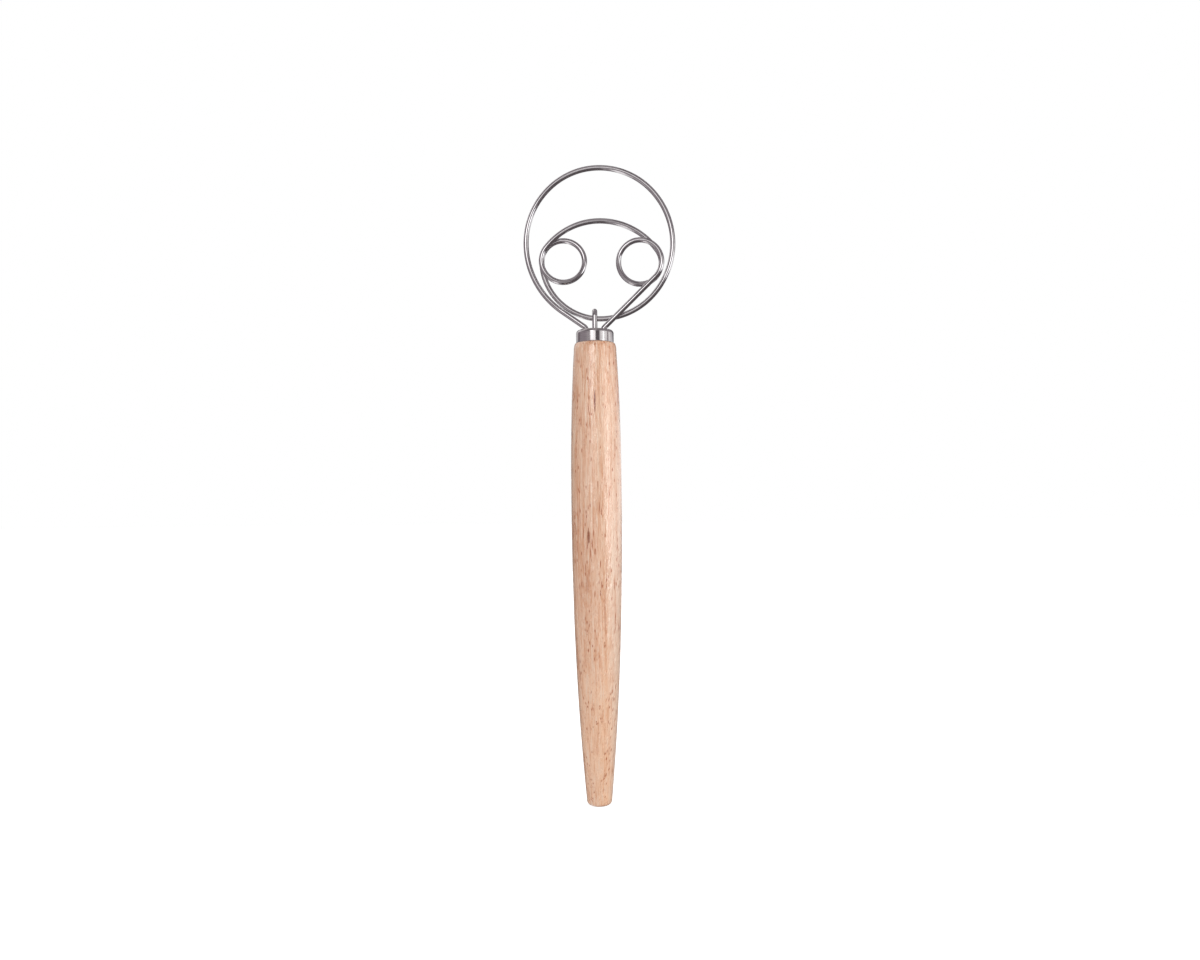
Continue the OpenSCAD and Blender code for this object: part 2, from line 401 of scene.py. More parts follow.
    def drawn_marks(self, nodes: Nodes, wood: bpy.types.NodeSocket) -> bpy.types.NodeSocket:
        """Adds the few single marks that stand out on the front of this handle.

        Args:
            nodes: The material's nodes.
            wood: The colour under them.

        Returns:
            The colour with the marks.
        """
        parts = nodes.add("SeparateXYZ")
        nodes.join(nodes.stretched((1.0, 1.0, 1.0)), parts.inputs["Vector"])
        front = nodes.limits(parts.outputs["Y"], 0.0, -0.002)
        ragged = self.noise(nodes, nodes.stretched((1.0, 1.0, 1.0)), self.ragged, 2.0)
        for mark in self.single_marks:
            squares = []
            for axis, middle, half in zip("XZ", mark.middle, mark.half):
                share = nodes.maths("DIVIDE", nodes.maths("SUBTRACT", parts.outputs[axis], middle), half)
                squares.append(nodes.maths("MULTIPLY", share, share))
            reach = nodes.maths("ADD", nodes.maths("ADD", *squares), ragged)
            inside = nodes.maths("MULTIPLY", nodes.limits(reach, 1.6, 0.7), front)
            wood = nodes.mix(nodes.maths("MULTIPLY", inside, mark.depth), wood, mark.colour)
        return wood

    def build(self) -> bpy.types.Material:
        """Makes the material.

        Returns:
            The finished material.
        """
        material, nodes, shader = new_material(self.name)
        grain = self.grain(nodes)
        patch = self.noise(nodes, grain, self.patch, 2.0)
        fibre = self.noise(nodes, grain, self.fibre, 3.0)
        fine = self.noise(nodes, grain, self.fine, 2.0)
        base = self.paler_end_and_painted_light(nodes, nodes.ramp(patch, [(0.32, self.deep), (0.62, self.pale)]))
        calm = nodes.limits(self.towards_butt(nodes), 1.9, 0.0)
        dark_fibre = nodes.maths("MULTIPLY", nodes.limits(fibre, 0.50, 0.28), calm)
        streaked = nodes.mix(nodes.maths("MULTIPLY", dark_fibre, 0.5), base, self.streak)
        dark_fine = nodes.maths("MULTIPLY", nodes.limits(fine, 0.47, 0.30), calm)
        ruled = nodes.mix(nodes.maths("MULTIPLY", dark_fine, 0.6), streaked, self.streak)
        light_fine = nodes.maths("MULTIPLY", nodes.limits(fine, 0.53, 0.68), calm)
        fibred = nodes.mix(nodes.maths("MULTIPLY", light_fine, 0.8), ruled, self.light)
        marked = self.long_streaks(nodes, fibred)
        patch = nodes.maths("ADD", patch, nodes.maths("MULTIPLY", self.towards_butt(nodes), 0.06))
        for scale in (self.short_vessels, self.long_vessels):
            halo = self.vessels(nodes, grain, patch, scale, 1.6 * self.vessel_r)
            reddened = nodes.mix(nodes.maths("MULTIPLY", halo, 0.3), marked, self.streak)
            core = self.vessels(nodes, grain, patch, scale, self.vessel_r)
            marked = nodes.mix(core, reddened, self.vessel)
        colour = self.drawn_marks(nodes, marked)
        nodes.join(colour, shader.inputs["Base Color"])
        rough = nodes.add("MapRange")
        rough.inputs["To Min"].default_value = 0.30
        rough.inputs["To Max"].default_value = 0.50
        nodes.join(fine, rough.inputs["Value"])
        nodes.join(rough.outputs["Result"], shader.inputs["Roughness"])
        bump = nodes.add("Bump", Strength=0.5, Distance=0.00008)
        nodes.join(nodes.maths("ADD", fibre, fine), bump.inputs["Height"])
        nodes.join(bump.outputs["Normal"], shader.inputs["Normal"])
        ripple = nodes.add("Bump", Strength=1.0, Distance=0.0004)
        nodes.join(self.noise(nodes, grain, self.uneven, 2.0), ripple.inputs["Height"])
        nodes.join(ripple.outputs["Normal"], shader.inputs["Coat Normal"])
        worn = nodes.add("MapRange")
        worn.inputs["From Min"].default_value = 0.42
        worn.inputs["From Max"].default_value = 0.60
        worn.inputs["To Min"].default_value = 0.05
        worn.inputs["To Max"].default_value = 0.30
        nodes.join(self.noise(nodes, grain, self.dabs, 2.0), worn.inputs["Value"])
        nodes.join(worn.outputs["Result"], shader.inputs["Coat Roughness"])
        shader.inputs["Coat Weight"].default_value = 1.0
        shader.inputs["Coat IOR"].default_value = 2.0
        shader.inputs["IOR"].default_value = 1.5
        shader.inputs["Specular IOR Level"].default_value = 0.4
        return material


@dataclass(frozen=True)
class Steel:
    """Bright stainless steel with faint draw marks and small changes of gloss."""

    name: str
    colour: Colour
    gloss: tuple[float, float]
    marks: Point
    depth: float

    def build(self) -> bpy.types.Material:
        """Makes the material.

        Returns:
            The finished material.
        """
        material, nodes, shader = new_material(self.name)
        marks = nodes.add("TexNoise", Scale=1.0, Detail=4.0, Roughness=0.6)
        nodes.join(nodes.stretched(self.marks), marks.inputs["Vector"])
        darker = tuple(0.86 * part for part in self.colour)
        colour = nodes.ramp(marks.outputs["Fac"], [(0.35, darker), (0.60, self.colour)])
        nodes.join(colour, shader.inputs["Base Color"])
        gloss = nodes.add("MapRange")
        gloss.inputs["To Min"].default_value = self.gloss[0]
        gloss.inputs["To Max"].default_value = self.gloss[1]
        nodes.join(marks.outputs["Fac"], gloss.inputs["Value"])
        nodes.join(gloss.outputs["Result"], shader.inputs["Roughness"])
        bump = nodes.add("Bump", Strength=0.15, Distance=self.depth)
        nodes.join(marks.outputs["Fac"], bump.inputs["Height"])
        nodes.join(bump.outputs["Normal"], shader.inputs["Normal"])
        shader.inputs["Metallic"].default_value = 1.0
        return material


WIRE_STEEL = Steel("drawn_wire_steel", (0.78, 0.76, 0.77), (0.03, 0.07), (420.0, 420.0, 420.0), 0.000004)
FERRULE_STEEL = Steel("polished_cap_steel", (0.83, 0.80, 0.80), (0.07, 0.15), (160.0, 160.0, 2600.0), 0.000004)


@dataclass(frozen=True)
class CuredGlue:
    """Cloudy, pale yellow glue inside the handle."""

    name: str = "cured_glue"
    clear: Colour = (0.78, 0.68, 0.42)
    cloudy: Colour = (0.70, 0.60, 0.38)
    cloud: float = 400.0

    def build(self) -> bpy.types.Material:
        """Makes the material.

        Returns:
            The finished material.
        """
        material, nodes, shader = new_material(self.name)
        clouds = nodes.add("TexNoise", Scale=1.0, Detail=3.0)
        nodes.join(nodes.stretched((self.cloud, self.cloud, self.cloud)), clouds.inputs["Vector"])
        colour = nodes.ramp(clouds.outputs["Fac"], [(0.4, self.cloudy), (0.6, self.clear)])
        nodes.join(colour, shader.inputs["Base Color"])
        shader.inputs["Roughness"].default_value = 0.45
        return material


@dataclass
class Bend:
    """One bend of the wire, formed round a peg.

    Args:
        mid: Middle of the bend, along X and Z.
        radius: Radius of the wire's centre line.
        turn: Sense of the bend.
        depths: Places along Y where the bend starts and ends.
        full_turns: Full turns added.
    """

    mid: Vector
    radius: float
    turn: Turn
    depths: tuple[float, float]
    full_turns: int = 0

    def heading_to(self, other: "Bend") -> float:
        """Finds the heading of the straight run to the next bend, tangent to both.

        Args:
            other: The next bend.

        Returns:
            The heading, in radians from +X towards +Z.
        """
        run = other.mid - self.mid
        side = other.turn.value * other.radius - self.turn.value * self.radius
        share = max(-1.0, min(1.0, side / run.length))
        return math.atan2(run.y, run.x) - math.asin(share)

    def points(self, start: float, end: float, step: float) -> list[Vector]:
        """Finds points along the bend, entered and left on the given headings.

        Args:
            start: Heading where the bend starts.
            end: Heading where it ends.
            step: Largest angle between two points.

        Returns:
            The points, in order.
        """
        slack = 1e-4
        turned = (end - start) * self.turn.value
        turned -= math.tau * math.floor((turned + slack) / math.tau)
        sweep = turned + math.tau * self.full_turns
        count = max(1, math.ceil(sweep / step))
        made = []
        for index in range(count + 1):
            share = index / count
            angle = start + self.turn.value * (sweep * share - math.pi / 2)
            depth = self.depths[0] + (self.depths[1] - self.depths[0]) * climb(share)
            x, z = self.mid + self.radius * along(angle)
            made.append(Vector((x, depth, z)))
        return made


def along(angle: float) -> Vector:
    """Gives the unit vector of an angle in the X-Z plane."""
    return Vector((math.cos(angle), math.sin(angle)))


def climb(share: float) -> float:
    """Gives the share of a change of depth done along a bend, level near both ends."""
    level = 0.18
    run = min(1.0, max(0.0, (share - level) / (1.0 - 2.0 * level)))
    return run * run * (3.0 - 2.0 * run)


@dataclass
class WireHead:
    """The whisk wire and the keeper, in metres, with the sizes of the real wire forms."""

    wire_d: float = 0.0028
    bend_r: float = 0.003
    tang_l: float = 0.030
    loop_w: float = 0.0812
    loop_h: float = 0.0836
    loop_x: float = 0.0029
    neck_h: float = 0.005
    loop_back: float = 0.0014
    flank_r: float = 0.0445
    flank_angle: float = math.radians(182)
    head_lean: float = math.radians(1.8)
    eye_bore: float = 0.020
    eye_gap: float = 0.0409
    eye_drop: float = 0.0105
    eye_shift: float = 0.0013
    arch_rise: float = 0.0217
    heel_angle: float = math.radians(275)
    turn_gap: float = 0.0005
    arch_back: float = 0.001
    keeper_h: float = 0.0118
    keeper_gap: float = 0.0003
    hole_x: float = 0.0044
    hole_front: float = 0.0016
    ferrule_wall: float = 0.0006
    sides: int = 28
    step: float = math.radians(2.5)
    ferrule_top: float = field(default_factory=lambda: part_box("ferrule")[1][2])

    def oval(self) -> list[Bend]:
        """Lays out the outer loop: its flank, two sides, crown and bottom.

        Returns:
            The bends, in the order in which the wire runs.
        """
        half_w = (self.loop_w - self.wire_d) / 2
        half_h = (self.loop_h - self.wire_d) / 2
        shift = (half_h - half_w) / (2 - math.sqrt(2))
        side_r = half_w + shift
        crown_r = half_h - shift
        mid = self.loop_mid()
        left = mid + Vector((shift, 0))
        flank = left + (side_r - self.flank_r) * along(self.flank_angle)
        level = (self.loop_back, self.loop_back)
        return [
            Bend(flank, self.flank_r, Turn.CLOCKWISE, level),
            Bend(left, side_r, Turn.CLOCKWISE, level),
            Bend(mid + Vector((0, shift)), crown_r, Turn.CLOCKWISE, level),
            Bend(mid - Vector((shift, 0)), side_r, Turn.CLOCKWISE, level),
            Bend(mid - Vector((0, shift)), crown_r, Turn.CLOCKWISE, level),
        ]

    def loop_mid(self) -> Vector:
        """Gives the middle of the outer loop, along X and Z."""
        return Vector((self.loop_x, self.ferrule_top + self.neck_h + self.loop_h / 2))

    def bends(self) -> list[Bend]:
        """Lays out every bend of the wire from the left hole to the right one.

        Returns:
            The bends, in the order in which the wire runs.
        """
        loop = self.oval()
        bottom = loop[-1]
        eye_r = (self.eye_bore + self.wire_d) / 2
        line = along(-self.head_lean)
        up = along(math.pi / 2 - self.head_lean)
        mid = self.loop_mid() + self.eye_shift * line - self.eye_drop * up
        left_eye = mid - self.eye_gap / 2 * line
        right_eye = mid + self.eye_gap / 2 * line
        spread = (self.eye_gap / 2) ** 2 + self.arch_rise**2 - eye_r**2
        arch_r = spread / (2 * (self.arch_rise - eye_r))
        arch_mid = mid + (self.arch_rise - arch_r) * up
        out = along(self.heel_angle)
        start = bottom.mid + bottom.radius * out
        away = start - left_eye
        heel_r = (away.dot(away) - eye_r**2) / (2 * (out.dot(away) - eye_r))
        one_pass = self.wire_d + self.turn_gap
        left_out = self.loop_back - one_pass
        right_in = left_out + self.arch_back
        right_out = right_in - one_pass
        bend_z = self.ferrule_top - self.ferrule_wall
        hole = (-self.hole_front, -self.hole_front)
        back = (self.loop_back, self.loop_back)
        left_bend = Vector((-self.hole_x - self.bend_r, bend_z))
        right_bend = Vector((self.hole_x + self.bend_r, bend_z))
        return [
            Bend(left_bend, self.bend_r, Turn.ANTICLOCKWISE, hole),
            *loop,
            Bend(start - heel_r * out, heel_r, Turn.CLOCKWISE, back),
            Bend(left_eye, eye_r, Turn.CLOCKWISE, (self.loop_back, left_out), 1),
            Bend(arch_mid, arch_r, Turn.CLOCKWISE, (left_out, right_in)),
            Bend(right_eye, eye_r, Turn.CLOCKWISE, (right_in, right_out), 1),
            Bend(right_bend, self.bend_r, Turn.ANTICLOCKWISE, hole),
        ]

    def route(self) -> list[Vector]:
        """Finds the centre line of the whisk wire from one end to the other.

        Returns:
            Points along the wire, none on the one before it.
        """
        bends = self.bends()
        headings = [math.pi / 2]
        headings += [a.heading_to(b) for a, b in zip(bends, bends[1:])]
        headings.append(3 * math.pi / 2)
        tang_z = self.ferrule_top - self.tang_l
        line = [Vector((-self.hole_x, -self.hole_front, tang_z))]
        for bend, start, end in zip(bends, headings, headings[1:]):
            step = self.step if bend.radius > 2 * self.bend_r else 3 * self.step
            for point in bend.points(start, end, step):
                if (point - line[-1]).length > self.wire_d / 16:
                    line.append(point)
        line.append(Vector((self.hole_x, -self.hole_front, tang_z)))
        return line

    def keeper_route(self) -> list[Vector]:
        """Finds the centre line of the keeper: up, round its crown and down again.

        Returns:
            Points along the keeper.
        """
        half = self.wire_d + self.keeper_gap
        mid_z = self.ferrule_top + self.keeper_h - self.wire_d / 2 - half
        tang_z = self.ferrule_top - self.tang_l
        count = 24
        crown = [
            Vector((0, self.loop_back - half * math.cos(a), mid_z + half * math.sin(a)))
            for a in (math.pi * index / count for index in range(count + 1))
        ]
        first = Vector((0, self.loop_back - half, tang_z))
        last = Vector((0, self.loop_back + half, tang_z))
        return [first, *crown, last]

    def wire(self, name: str, line: list[Vector]) -> bpy.types.Object:
        """Draws a round wire along a line and makes it a mesh.

        Args:
            name: The piece's name.
            line: Points of its centre line.

        Returns:
            The mesh object, with closed ends.
        """
        deselect_all()
        bpy.ops.curve.primitive_nurbs_path_add(location=(0, 0, 0))
        piece = bpy.context.object
        piece.name = name
        curve = piece.data
        curve.splines.clear()
        spline = curve.splines.new("POLY")
        spline.points.add(len(line) - 1)
        for place, point in zip(spline.points, line):
            place.co = (*point, 1.0)
        curve.dimensions = "3D"
        curve.twist_mode = "MINIMUM"
        curve.bevel_depth = self.wire_d / 2
        curve.bevel_resolution = self.sides // 2 - 2
        curve.use_fill_caps = True
        select_only(piece)
        bpy.ops.object.convert(target="MESH")
        piece = bpy.context.object
        bpy.ops.object.mode_set(mode="EDIT")
        bpy.ops.mesh.select_all(action="SELECT")
        bpy.ops.mesh.remove_doubles(threshold=1e-7)
        bpy.ops.mesh.normals_make_consistent(inside=False)
        bpy.ops.object.mode_set(mode="OBJECT")
        smooth(piece, 50)
        return piece

    def build(self, steel: bpy.types.Material) -> None:
        """Makes the whisk wire and the keeper.

        Args:
            steel: The finish of both.
        """
        for name, node, line in (
            ("bent_whisk_wire", "whisk_wire", self.route()),
            ("keeper_staple", "keeper_loop", self.keeper_route()),
        ):
            piece = self.wire(name, line)
            dress(piece, steel)
            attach(piece, BODY)
            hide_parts(node)
            log.info("%s: %d faces", name, len(piece.data.polygons))


def dress(piece: bpy.types.Object, material: bpy.types.Material) -> None:
    """Gives a piece one material all over."""
    piece.data.materials.clear()
    piece.data.materials.append(material)


@dataclass
class Ferrule:
    """The drawn steel cap, in metres, with four punched holes in its top."""

    wall: float = 0.0006
    corner: float = 0.0018
    rim: float = 0.00035
    hole_x: float = 0.0044
    hole_front: float = 0.0016
    hole_r: float = 0.00165
    keeper_half: float = 0.0031
    loop_back: float = 0.0014
    lip: float = 0.00012
    faces: int = 128
    low: Vector = field(default_factory=lambda: Vector(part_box("ferrule")[0]))
    high: Vector = field(default_factory=lambda: Vector(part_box("ferrule")[1]))

    def outline(self) -> list[FlatPoint]:
        """Draws the outside of the cap from its rim to the flat of its top.

        Returns:
            Radii and heights.
        """
        radius, bottom, top = self.high.x, self.low.z, self.high.z
        rings: list[FlatPoint] = []
        for index in range(5):
            a = math.pi / 2 * index / 4
            rings.append((radius - self.rim * (1 - math.sin(a)), bottom + self.rim * (1 - math.cos(a))))
        rings.append((radius, bottom + 1.15 * self.rim))
        rings.append((radius, top - 1.04 * self.corner))
        for index in range(13):
            a = math.pi / 2 * index / 12
            rings.append((radius - self.corner * (1 - math.cos(a)), top - self.corner * (1 - math.sin(a))))
        return rings

    def punch(self, cap: bpy.types.Object, x: float, y: float) -> None:
        """Punches one round hole through the cap's top.

        Args:
            cap: The cap.
            x: Place along X.
            y: Place along Y.
        """
        deselect_all()
        bpy.ops.mesh.primitive_cylinder_add(
            vertices=48, radius=self.hole_r, depth=6 * self.wall, location=(x, y, self.high.z)
        )
        pin = bpy.context.object
        select_only(cap)
        cut = cap.modifiers.new("punch", "BOOLEAN")
        cut.operation = "DIFFERENCE"
        cut.solver = "EXACT"
        cut.object = pin
        bpy.ops.object.modifier_apply(modifier=cut.name)
        bpy.data.objects.remove(pin)

    def build(self, steel: bpy.types.Material) -> None:
        """Makes the cap.

        Args:
            steel: Its finish.
        """
        cap = lathe("drawn_cap", self.outline(), self.faces, closed_start=False)
        bpy.ops.object.mode_set(mode="EDIT")
        bpy.ops.mesh.select_all(action="DESELECT")
        bpy.ops.object.mode_set(mode="OBJECT")
        for edge in cap.data.edges:
            edge.select = all(cap.data.vertices[v].co.z > self.high.z - 1e-7 for v in edge.vertices)
        bpy.ops.object.mode_set(mode="EDIT")
        bpy.ops.mesh.select_mode(type="EDGE")
        bpy.ops.mesh.edge_face_add()
        bpy.ops.mesh.select_all(action="SELECT")
        bpy.ops.mesh.normals_make_consistent(inside=False)
        bpy.ops.object.mode_set(mode="OBJECT")
        thick = cap.modifiers.new("wall", "SOLIDIFY")
        thick.thickness = self.wall
        thick.offset = -1.0
        thick.use_even_offset = True
        bpy.ops.object.modifier_apply(modifier=thick.name)
        for x, y in (
            (-self.hole_x, -self.hole_front),
            (self.hole_x, -self.hole_front),
            (0.0, self.loop_back - self.keeper_half),
            (0.0, self.loop_back + self.keeper_half),
        ):
            self.punch(cap, x, y)
        smooth(cap, 35)
        dress(cap, steel)
        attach(cap, BODY)
        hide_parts("ferrule")
        log.info("drawn_cap: %d faces", len(cap.data.polygons))


def lathe(name: str, rings: list[FlatPoint], faces: int, closed_start: bool) -> bpy.types.Object:
    """Turns a piece as on a lathe, ring by ring along its axis.

    Args:
        name: The piece's name.
        rings: Radii and heights, in order.
        faces: Faces round the axis.
        closed_start: Whether the first ring is filled.

    Returns:
        The mesh object, selected and active.
    """
    deselect_all()
    radius, height = rings[0]
    fill = "NGON" if closed_start else "NOTHING"
    bpy.ops.mesh.primitive_circle_add(vertices=faces, radius=radius, fill_type=fill, location=(0, 0, height))
    piece = bpy.context.object
    piece.name = name
    bpy.ops.object.transform_apply(location=True)
    bpy.ops.object.mode_set(mode="EDIT")
    bpy.ops.mesh.select_all(action="SELECT")
    extrude = bpy.ops.mesh.extrude_region_move if closed_start else bpy.ops.mesh.extrude_edges_move
    for next_radius, next_height in rings[1:]:
        extrude(TRANSFORM_OT_translate={"value": (0, 0, next_height - height)})
        scale = next_radius / radius
        bpy.ops.transform.resize(value=(scale, scale, 1), center_override=(0, 0, next_height))
        radius, height = next_radius, next_height
    bpy.ops.mesh.select_all(action="SELECT")
    bpy.ops.mesh.normals_make_consistent(inside=False)
    bpy.ops.object.mode_set(mode="OBJECT")
    return piece


@dataclass
class Handle:
    """The turned handle, in metres, with its tenon and its drilled socket."""

    belly_d: float = 0.0269
    belly_z: float = 0.165
    butt_d: float = 0.013
    butt_round: float = 0.002
    shoulder_d: float = 0.0222
    shoulder_round: float = 0.004
    swell_power: float = 2.25
    neck_power: float = 2.3
    ledge: float = 0.0002
    ferrule_wall: float = 0.0006
    ferrule_corner: float = 0.0018
    fit_gap: float = 0.00005
    socket_d: float = 0.014
    socket_l: float = 0.036
    drill_point: float = math.radians(118)
    faces: int = 144
    lower_steps: int = 60
    upper_steps: int = 30
    length: float = field(default_factory=lambda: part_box("ferrule")[0][2])
    tenon_top: float = field(default_factory=lambda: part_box("handle")[1][2])
    ferrule_r: float = field(default_factory=lambda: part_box("ferrule")[1][0])

    def grip_r(self, z: float) -> float:
        """Gives the radius of the grip at a height."""
        belly, butt, shoulder = self.belly_d / 2, self.butt_d / 2, self.shoulder_d / 2
        if z < self.belly_z:
            return belly - (belly - butt) * (1 - z / self.belly_z) ** self.swell_power
        rise = (z - self.belly_z) / (self.length - self.belly_z)
        return belly - (belly - shoulder) * rise**self.neck_power

    def outline(self) -> list[FlatPoint]:
        """Draws the turned outline, then the inside of the socket.

        Returns:
            Radii and heights, from the butt over the tenon to the tip of the socket.
        """
        quarter = math.pi / 2
        corner = self.butt_round
        edge = self.grip_r(corner)
        rings: list[FlatPoint] = []
        for index in range(10):
            a = quarter * index / 10
            rings.append((edge - corner * (1 - math.sin(a)), corner * (1 - math.cos(a))))
        for index in range(self.lower_steps):
            z = corner + (self.belly_z - corner) * index / self.lower_steps
            rings.append((self.grip_r(z), z))
        top = self.length - self.shoulder_round
        for index in range(self.upper_steps):
            z = self.belly_z + (top - self.belly_z) * index / self.upper_steps
            rings.append((self.grip_r(z), z))
        ledge_r = self.ferrule_r + self.ledge
        for index in range(13):
            a = quarter * index / 12
            r = ledge_r + (self.grip_r(top) - ledge_r) * math.cos(a)
            rings.append((r, top + self.shoulder_round * math.sin(a)))
        tenon_r = self.ferrule_r - self.ferrule_wall - self.fit_gap
        chamfer = self.ferrule_corner - self.ferrule_wall
        socket_r = self.socket_d / 2
        socket_z = self.tenon_top - self.socket_l
        rings += [
            (tenon_r, self.length),
            (tenon_r, self.tenon_top - chamfer),
            (tenon_r - chamfer, self.tenon_top),
            (socket_r, self.tenon_top),
            (socket_r, socket_z),
            (socket_r / 50, socket_z - socket_r * 0.98 / math.tan(self.drill_point / 2)),
        ]
        return rings

    def build(self, wood: bpy.types.Material) -> None:
        """Makes the handle.

        Args:
            wood: Its finish.
        """
        piece = lathe("turned_handle", self.outline(), self.faces, closed_start=True)
        smooth(piece, 30)
        dress(piece, wood)
        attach(piece, BODY)
        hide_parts("handle")
        log.info("turned_handle: %d faces", len(piece.data.polygons))


@dataclass(frozen=True)
class Card:
    """A card round the whisk, placed by where a mirror ball would show it.

    Args:
        middle: Its middle on a ball of radius 1, across and up.
        half: Half its width and height there.
        colour: What it sends to the steel.
        edge: Softness of its edge, as a share of its size.
        corners: How square it is, from 2 for an ellipse upwards, an even number.
        turn: How far it is turned against the clock, in degrees.
    """

    middle: FlatPoint
    half: FlatPoint
    colour: Colour
    edge: float = 0.2
    corners: int = 2
    turn: float = 0.0

    def hang(
        self,
        nodes: Nodes,
        across: bpy.types.NodeSocket,
        up: bpy.types.NodeSocket,
        behind: bpy.types.NodeSocket,
    ) -> bpy.types.NodeSocket:
        """Hangs the card in front of what is behind it.

        Args:
            nodes: The world's nodes.
            across: Place across the mirror ball.
            up: Place up the mirror ball.
            behind: Colour behind the card.

        Returns:
            The colour with the card.
        """
        cosine = math.cos(math.radians(self.turn))
        sine = math.sin(math.radians(self.turn))
        right = nodes.maths("SUBTRACT", across, self.middle[0])
        above = nodes.maths("SUBTRACT", up, self.middle[1])
        squares = []
        for half, by_right, by_above in ((self.half[0], cosine, sine), (self.half[1], -sine, cosine)):
            turned = nodes.maths(
                "ADD", nodes.maths("MULTIPLY", right, by_right), nodes.maths("MULTIPLY", above, by_above)
            )
            size = nodes.maths("ABSOLUTE", nodes.maths("DIVIDE", turned, half), 0.0)
            squares.append(nodes.maths("POWER", size, float(self.corners)))
        reach = nodes.maths("POWER", nodes.maths("ADD", *squares), 2.0 / self.corners)
        inside = nodes.limits(reach, 1.0 + self.edge, 1.0 - self.edge)
        return nodes.mix(inside, behind, self.colour)


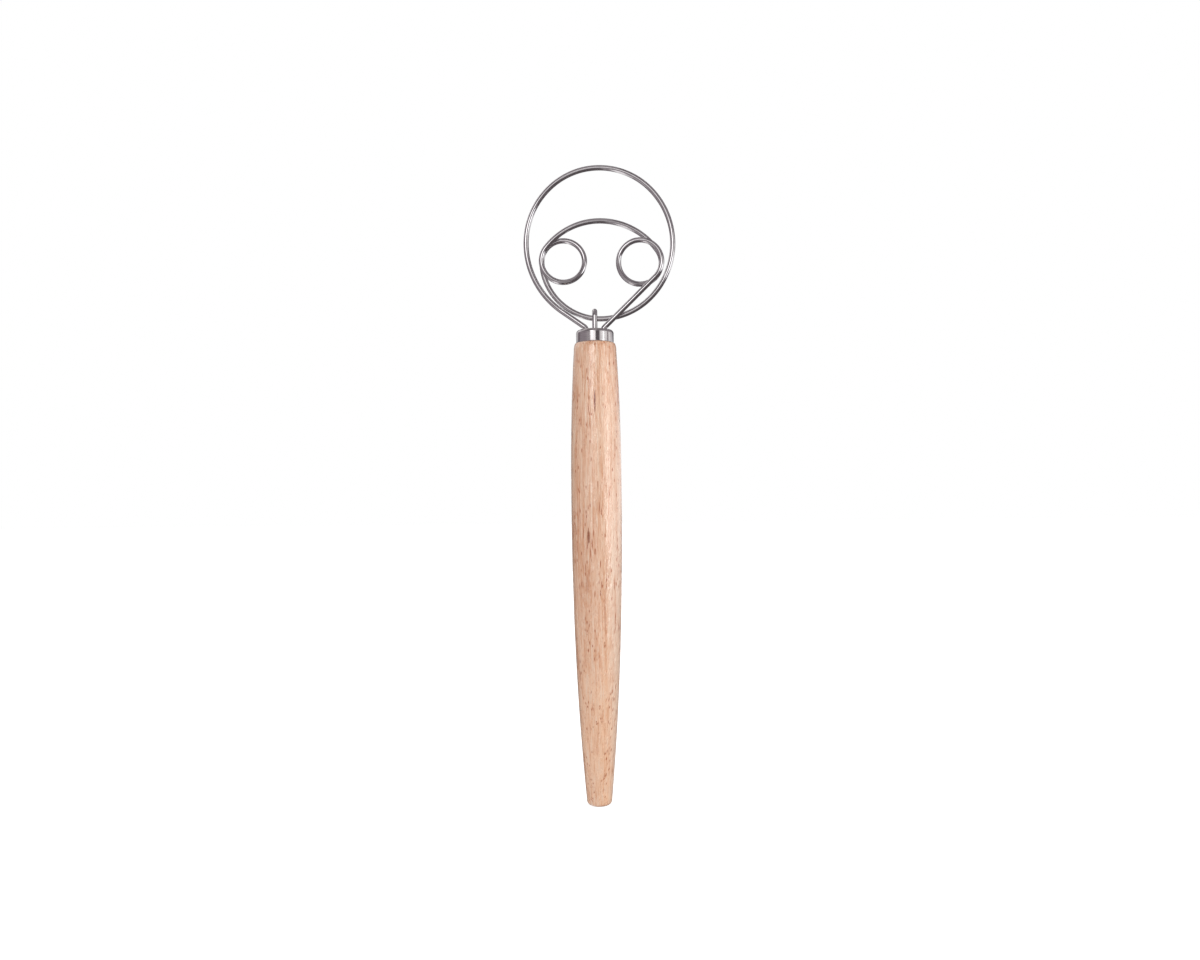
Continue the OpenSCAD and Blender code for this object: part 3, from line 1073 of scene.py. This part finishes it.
@dataclass
class Studio:
    """Camera, lamps, backdrop and floor, set out as the photograph was taken."""

    room: tuple[tuple[float, Colour], ...] = (
        (-0.92, (0.23, 0.20, 0.22)),
        (-0.50, (0.29, 0.255, 0.275)),
        (-0.10, (0.29, 0.26, 0.275)),
        (0.05, (0.32, 0.295, 0.305)),
        (0.18, (0.24, 0.215, 0.23)),
        (1.0, (0.30, 0.27, 0.29)),
    )
    cards: tuple[Card, ...] = (
        Card((-0.57, 0.57), (0.52, 0.13), (0.68, 0.655, 0.665), 0.3, 2, 45.0),
        Card((0.16, 0.50), (0.06, 0.24), (0.17, 0.15, 0.16), 0.5, 2, -14.0),
        Card((-0.40, 0.30), (0.26, 0.13), (0.19, 0.165, 0.18), 0.4, 2, 35.0),
        Card((-0.29, 0.40), (0.12, 0.07), (0.05, 0.04, 0.045), 0.4, 2, 10.0),
        Card((-0.84, 0.05), (0.07, 0.12), (0.12, 0.10, 0.11), 0.5),
        Card((0.50, -0.60), (0.54, 0.47), (0.10, 0.085, 0.09), 0.1, 8, -8.0),
        Card((0.06, -0.11), (0.12, 0.07), (0.55, 0.53, 0.54), 0.5, 2, -20.0),
        Card((-0.29, -0.62), (0.15, 0.27), (1.05, 1.02, 1.03), 0.3, 2, -25.0),
        Card((-0.38, -0.42), (0.16, 0.14), (0.46, 0.435, 0.45), 0.5),
        Card((-0.36, 0.03), (0.12, 0.06), (0.40, 0.37, 0.38), 0.5),
        Card((-0.12, 0.13), (0.16, 0.10), (1.15, 1.13, 1.13), 0.15, 2, -10.0),
        Card((-0.15, 0.15), (0.09, 0.06), (2.4, 2.38, 2.38), 0.3),
        Card((0.14, 0.10), (0.10, 0.09), (0.11, 0.095, 0.10), 0.3, 4),
        Card((0.63, 0.05), (0.37, 0.13), (0.80, 0.78, 0.78), 0.3, 4, -8.0),
        Card((0.67, 0.10), (0.04, 0.05), (0.30, 0.27, 0.28), 0.5),
        Card((0.92, 0.04), (0.08, 0.17), (0.95, 0.95, 0.98), 0.3),
        Card((0.45, 0.0), (0.07, 0.09), (2.5, 2.55, 2.6), 0.3),
    )
    flag: Colour = (0.07, 0.055, 0.063)
    flag_from: float = 0.88
    flag_all: float = 0.94
    backdrop_from: float = 0.98
    fill: Colour = (0.98, 0.97, 1.0)
    fill_level: float = 0.68
    image_w: int = 1200
    focal_px: float = 881.8
    sensor: float = 36.0
    eye: Point = (0.00193, -0.470, 0.1723)
    roll: float = math.radians(-0.587)
    floor_size: float = 6.0

    def camera(self) -> None:
        """Puts the camera where it sees the whisk as the photograph does."""
        data = bpy.data.cameras.new("camera")
        data.sensor_width = self.sensor
        data.lens = self.sensor * self.focal_px / self.image_w
        data.clip_start = 0.01
        camera = bpy.data.objects.new("camera", data)
        level = Matrix.Rotation(math.pi / 2, 4, "X")
        camera.matrix_world = Matrix.Translation(self.eye) @ level @ Matrix.Rotation(self.roll, 4, "Z")
        bpy.context.collection.objects.link(camera)
        bpy.context.scene.camera = camera

    def lamp(self, name: str, place: Point, size: float, power: float) -> None:
        """Adds a soft square lamp that faces the whisk.

        Args:
            name: Its name.
            place: Where it stands.
            size: Its width.
            power: Its power in watts.
        """
        data = bpy.data.lights.new(name, "AREA")
        data.size = size
        data.energy = power
        lamp = bpy.data.objects.new(name, data)
        aim = Vector((0, 0, 0.19)) - Vector(place)
        lamp.rotation_euler = aim.to_track_quat("-Z", "Y").to_euler()
        lamp.location = place
        lamp.visible_glossy = False
        bpy.context.collection.objects.link(lamp)

    def world(self) -> None:
        """Surrounds the whisk with pale and dark cards that the steel reflects."""
        world = bpy.data.worlds.new("studio")
        world.use_nodes = True
        bpy.context.scene.world = world
        nodes = Nodes(world.node_tree)
        across, up = self.ball(nodes)
        spread = nodes.maths("ADD", nodes.maths("MULTIPLY", across, 0.5), 0.5)
        colour = nodes.ramp(spread, [((place + 1) / 2, tint) for place, tint in self.room])
        round_squared = nodes.maths(
            "ADD", nodes.maths("MULTIPLY", across, across), nodes.maths("MULTIPLY", up, up)
        )
        flags = nodes.limits(round_squared, self.flag_from**2, self.flag_all**2)
        colour = nodes.mix(flags, colour, self.flag)
        for card in self.cards:
            colour = card.hang(nodes, across, up, colour)
        behind = nodes.limits(round_squared, self.backdrop_from**2, 1.0)
        colour = nodes.mix(behind, colour, (1.0, 1.0, 1.0))
        path = nodes.add("LightPath")
        glossy = nodes.add("Background")
        nodes.join(colour, glossy.inputs["Color"])
        plain = nodes.add("Background", Color=(*self.fill, 1.0), Strength=self.fill_level)
        white = nodes.add("Background", Color=(1.0, 1.0, 1.0, 1.0), Strength=1.0)
        lit = nodes.add("MixShader")
        nodes.join(path.outputs["Is Glossy Ray"], lit.inputs[0])
        nodes.join(plain.outputs[0], lit.inputs[1])
        nodes.join(glossy.outputs[0], lit.inputs[2])
        seen = nodes.add("MixShader")
        nodes.join(path.outputs["Is Camera Ray"], seen.inputs[0])
        nodes.join(lit.outputs[0], seen.inputs[1])
        nodes.join(white.outputs[0], seen.inputs[2])
        output = nodes.add("OutputWorld")
        nodes.join(seen.outputs[0], output.inputs["Surface"])

    def ball(self, nodes: Nodes) -> tuple[bpy.types.NodeSocket, bpy.types.NodeSocket]:
        """Finds where a mirror ball, seen from the front, shows each direction.

        Args:
            nodes: The world's nodes.

        Returns:
            The place on a ball of radius 1, across and up.
        """
        place = nodes.add("TexCoord")
        parts = nodes.add("SeparateXYZ")
        nodes.join(place.outputs["Generated"], parts.inputs["Vector"])
        twice = nodes.maths("MULTIPLY", parts.outputs["Y"], -2.0)
        length = nodes.maths("SQRT", nodes.maths("ADD", twice, 2.0001), 0.0)
        across = nodes.maths("DIVIDE", parts.outputs["X"], length)
        up = nodes.maths("DIVIDE", parts.outputs["Z"], length)
        return across, up

    def floor(self) -> None:
        """Lays a pale floor that runs on into the white background."""
        deselect_all()
        bpy.ops.mesh.primitive_plane_add(size=self.floor_size, location=(0, 0, 0))
        floor = bpy.context.object
        floor.name = "floor"
        material = bpy.data.materials.new("pale_floor")
        material.use_nodes = True
        nodes = Nodes(material.node_tree)
        matt = nodes.add("BsdfDiffuse", Color=(0.60, 0.60, 0.60, 1.0))
        glow = nodes.add("Emission", Color=(1.0, 1.0, 1.0, 1.0), Strength=0.75)
        none = nodes.add("Emission", Color=(0.0, 0.0, 0.0, 1.0), Strength=0.0)
        path = nodes.add("LightPath")
        seen = nodes.add("MixShader")
        nodes.join(path.outputs["Is Camera Ray"], seen.inputs[0])
        nodes.join(none.outputs[0], seen.inputs[1])
        nodes.join(glow.outputs[0], seen.inputs[2])
        both = nodes.add("AddShader")
        nodes.join(matt.outputs[0], both.inputs[0])
        nodes.join(seen.outputs[0], both.inputs[1])
        output = nodes.add("OutputMaterial")
        nodes.join(both.outputs[0], output.inputs["Surface"])
        dress(floor, material)
        floor.visible_glossy = False

    def build(self) -> None:
        """Sets up the whole studio."""
        self.camera()
        self.world()
        self.floor()
        self.lamp("right_softbox", (1.15, -0.25, 0.14), 0.7, 9.2)
        self.lamp("left_softbox", (-0.46, -1.02, 0.12), 0.8, 7.2)
        self.lamp("back_softbox", (0.25, 1.1, 0.25), 0.9, 7.0)
        bpy.context.scene.view_settings.view_transform = "Standard"


def main() -> None:
    """Builds the looks of the whisk and its studio."""
    logging.basicConfig(level=logging.INFO, format="%(message)s")
    WireHead().build(WIRE_STEEL.build())
    Ferrule().build(FERRULE_STEEL.build())
    Handle().build(LacqueredWood().build())
    dress(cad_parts["glue_plug"], CuredGlue().build())
    Studio().build()


if __name__ == "__main__":
    main()
